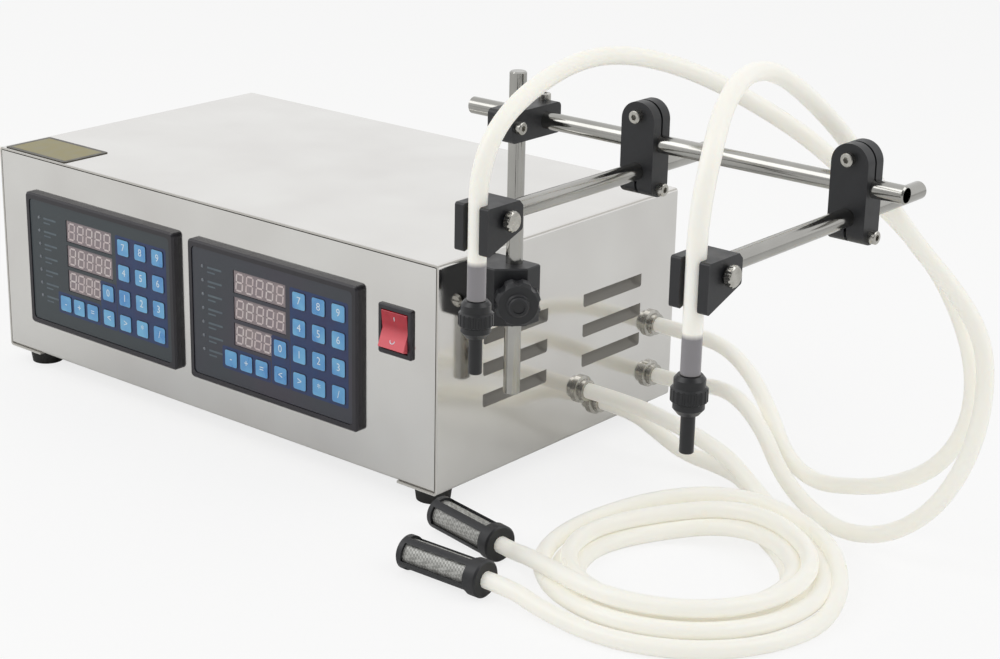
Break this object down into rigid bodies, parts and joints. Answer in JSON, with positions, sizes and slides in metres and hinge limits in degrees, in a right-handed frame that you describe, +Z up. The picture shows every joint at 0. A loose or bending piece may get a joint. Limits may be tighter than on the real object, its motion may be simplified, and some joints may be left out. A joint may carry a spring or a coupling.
{
  "type": "liquid filling machine",
  "caption": "Bench liquid filling machine: steel case with keypad controllers and gear pumps, a side stand with hanging nozzles, and silicone hoses with floor strainers.",
  "frame": {"origin": "centre of the machine's footprint on the standing surface, hoses and strainers left out", "axes": "+X to the machine's right as its front is seen, where the nozzle stand is; +Y to the back; +Z up"},
  "size_m": [0.6806, 0.3347, 0.3035],
  "materials": {
    "case_steel": "polished stainless sheet",
    "bright_steel": "bright drawn stainless bar and screws",
    "zinc_steel": "zinc plated steel",
    "pump_aluminium": "machined aluminium",
    "black_plastic": "black moulded nylon",
    "keypad_film": "dark satin membrane film with blue keys",
    "display_plastic": "greyish pink display window",
    "board_laminate": "green circuit board laminate",
    "red_rocker": "translucent red switch plastic",
    "foot_rubber": "black rubber",
    "label_metal": "olive gold plate, bare",
    "silicone": "milky translucent silicone"
  },
  "bodies": {
    "case": {"case_feet": "foot_rubber", "chassis_tray": "case_steel", "clamp_block": "black_plastic", "clamp_block_screws": "bright_steel", "controller_displays": "display_plastic", "cover_screws": "bright_steel", "cover_shell": "case_steel", "fitting_nuts": "zinc_steel", "foot_screws": "bright_steel", "front_strainer_cage": "black_plastic", "front_strainer_hose": "silicone", "fuse_holder": "black_plastic", "hose_coil": "silicone", "hose_fittings": "bright_steel", "inner_hoses": "silicone", "label_plate": "label_metal", "left_control_board": "board_laminate", "left_controller_frame": "black_plastic", "left_delivery_hose": "silicone", "left_keypad_overlay": "keypad_film", "lower_pump_body": "pump_aluminium", "lower_pump_cover": "pump_aluminium", "lower_suction_hose": "silicone", "power_inlet": "black_plastic", "power_supply": "zinc_steel", "pump_bracket": "zinc_steel", "pump_motors": "zinc_steel", "rear_strainer_cage": "black_plastic", "rear_strainer_hose": "silicone", "right_control_board": "board_laminate", "right_controller_frame": "black_plastic", "right_delivery_hose": "silicone", "right_keypad_overlay": "keypad_film", "strainer_meshes": "bright_steel", "switch_frame": "black_plastic", "upper_pump_body": "pump_aluminium", "upper_pump_cover": "pump_aluminium", "upper_suction_hose": "silicone"},
    "stand": {"post": "bright_steel", "cross_rail": "bright_steel", "cross_clamp": "black_plastic", "left_arm": "bright_steel", "right_arm": "bright_steel", "left_arm_clamp": "black_plastic", "right_arm_clamp": "black_plastic", "left_nozzle_holder": "black_plastic", "right_nozzle_holder": "black_plastic", "clamp_screws": "bright_steel", "left_nozzle_tube": "black_plastic", "left_nozzle_barrel": "black_plastic", "right_nozzle_tube": "black_plastic", "right_nozzle_barrel": "black_plastic"},
    "knob": {"star_knob": "black_plastic"},
    "left_thumb": {"left_thumb_screw": "bright_steel"},
    "right_thumb": {"right_thumb_screw": "bright_steel"},
    "rocker": {"switch_rocker": "red_rocker"},
    "upper_drive": {"upper_drive_gear": "zinc_steel"},
    "upper_idler": {"upper_idler_gear": "zinc_steel"},
    "lower_drive": {"lower_drive_gear": "zinc_steel"},
    "lower_idler": {"lower_idler_gear": "zinc_steel"}
  },
  "joints": [
    {"name": "stand_height", "type": "slide", "parent": "case", "child": "stand", "axis": [0, 0, 1], "range_m": [-0.06, 0.04], "deforming": ["left_delivery_hose", "right_delivery_hose"]},
    {"name": "star_knob_turn", "type": "hinge", "parent": "case", "child": "knob", "pos_m": [0.098, -0.04113, 0.1335], "axis": [0.7071, -0.7071, 0], "range_deg": [0, 360]},
    {"name": "left_thumb_screw_turn", "type": "hinge", "parent": "stand", "child": "left_thumb", "pos_m": [0.178, -0.14763, 0.2184], "axis": [1, 0, 0], "range_deg": [0, 360]},
    {"name": "right_thumb_screw_turn", "type": "hinge", "parent": "stand", "child": "right_thumb", "pos_m": [0.312, -0.14763, 0.2184], "axis": [1, 0, 0], "range_deg": [0, 360]},
    {"name": "rocker_tilt", "type": "hinge", "parent": "case", "child": "rocker", "pos_m": [0.0365, -0.07362, 0.1075], "axis": [1, 0, 0], "range_deg": [0, 16]},
    {"name": "upper_drive_spin", "type": "hinge", "parent": "case", "child": "upper_drive", "pos_m": [-0.111, 0.11688, 0.1091], "axis": [1, 0, 0], "continuous": true},
    {"name": "upper_idler_spin", "type": "hinge", "parent": "case", "child": "upper_idler", "pos_m": [-0.111, 0.11688, 0.0909], "axis": [1, 0, 0], "continuous": true},
    {"name": "lower_drive_spin", "type": "hinge", "parent": "case", "child": "lower_drive", "pos_m": [-0.111, 0.11688, 0.0521], "axis": [1, 0, 0], "continuous": true},
    {"name": "lower_idler_spin", "type": "hinge", "parent": "case", "child": "lower_idler", "pos_m": [-0.111, 0.11688, 0.0339], "axis": [1, 0, 0], "continuous": true}
  ],
  "couplings": [
    {"joint": "upper_idler_spin", "follows": "upper_drive_spin", "ratio": -1},
    {"joint": "lower_idler_spin", "follows": "lower_drive_spin", "ratio": -1}
  ]
}
